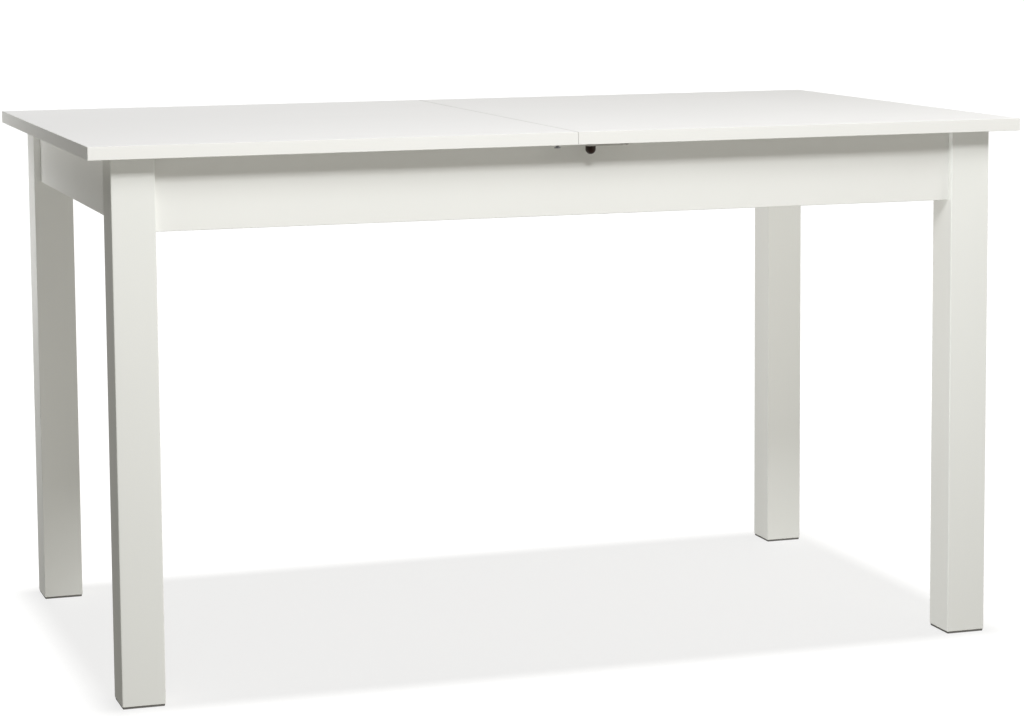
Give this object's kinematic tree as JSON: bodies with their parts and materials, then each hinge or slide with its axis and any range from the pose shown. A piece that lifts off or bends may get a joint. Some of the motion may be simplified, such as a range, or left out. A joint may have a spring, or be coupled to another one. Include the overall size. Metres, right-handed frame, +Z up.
{
  "type": "extendable dining table",
  "caption": "Rectangular extendable dining table with square legs, a two-part top that slides apart on grooved rails, turn latches under its edges and a loose leaf stored beneath.",
  "frame": {"origin": "on the floor, at the middle of the table's bounding box", "axes": "+X along the length of the table, to the right as seen from the front; +Y towards the rear; +Z up"},
  "size_m": [1.37, 0.8, 0.77],
  "materials": {
    "melamine_white": "white melamine-faced particleboard, semi-gloss",
    "edge_band": "white edge banding, semi-gloss",
    "foil_white": "white foil over wood, satin",
    "beech": "waxed beech",
    "zinc_steel": "zinc-plated, satin",
    "glide_plastic": "dark grey moulded plastic",
    "nylon": "natural nylon",
    "knob_plastic": "dark brown moulded plastic",
    "felt": "grey felt"
  },
  "bodies": {
    "frame": {"leg_fl": "foil_white", "leg_fr": "foil_white", "leg_rl": "foil_white", "leg_rr": "foil_white", "glide_fl": "glide_plastic", "glide_fr": "glide_plastic", "glide_rl": "glide_plastic", "glide_rr": "glide_plastic", "apron_front": "foil_white", "apron_rear": "foil_white", "apron_left": "foil_white", "apron_right": "foil_white", "apron_dowels": "beech", "bracket_fl": "zinc_steel", "bracket_fr": "zinc_steel", "bracket_rl": "zinc_steel", "bracket_rr": "zinc_steel", "bracket_screws": "zinc_steel", "hanger_bolt_fl": "zinc_steel", "hanger_bolt_fr": "zinc_steel", "hanger_bolt_rl": "zinc_steel", "hanger_bolt_rr": "zinc_steel", "hanger_nuts": "zinc_steel", "rail_front": "beech", "rail_rear": "beech", "rail_screws": "zinc_steel", "rail_stops_front": "beech", "rail_stops_rear": "beech", "slide_pads": "nylon", "bearer_left": "beech", "bearer_right": "beech", "bearer_angles": "zinc_steel", "bearer_screws": "zinc_steel", "felt_left": "felt", "felt_right": "felt", "leaf_cleats": "beech"},
    "top_left": {"board_left": "melamine_white", "band_left": "edge_band", "runner_fl": "beech", "runner_rl": "beech", "runner_screws_left": "zinc_steel", "strike_front": "zinc_steel", "latch_pivot_rear": "zinc_steel"},
    "top_right": {"board_right": "melamine_white", "band_right": "edge_band", "runner_fr": "beech", "runner_rr": "beech", "runner_screws_right": "zinc_steel", "strike_rear": "zinc_steel", "seam_dowels": "beech", "latch_pivot_front": "zinc_steel"},
    "latch_front": {"latch_lever_front": "zinc_steel", "latch_knob_front": "knob_plastic"},
    "latch_rear": {"latch_lever_rear": "zinc_steel", "latch_knob_rear": "knob_plastic"},
    "leaf": {"leaf_board": "melamine_white", "leaf_band": "edge_band", "leaf_dowels": "beech", "leaf_strikes": "zinc_steel"}
  },
  "joints": [
    {"name": "left_half_slide", "type": "slide", "parent": "frame", "child": "top_left", "axis": [-1, 0, 0], "range_m": [0, 0.2]},
    {"name": "right_half_slide", "type": "slide", "parent": "frame", "child": "top_right", "axis": [1, 0, 0], "range_m": [0, 0.2]},
    {"name": "front_latch_turn", "type": "hinge", "parent": "top_right", "child": "latch_front", "pos_m": [0.024, -0.382, 0.7497], "axis": [0, 0, -1], "range_deg": [0, 180]},
    {"name": "rear_latch_turn", "type": "hinge", "parent": "top_left", "child": "latch_rear", "pos_m": [-0.024, 0.382, 0.7497], "axis": [0, 0, -1], "range_deg": [0, 180]},
    {"name": "leaf_lift", "type": "slide", "parent": "frame", "child": "leaf", "axis": [0, 0, 1], "range_m": [0, 0.014]}
  ]
}
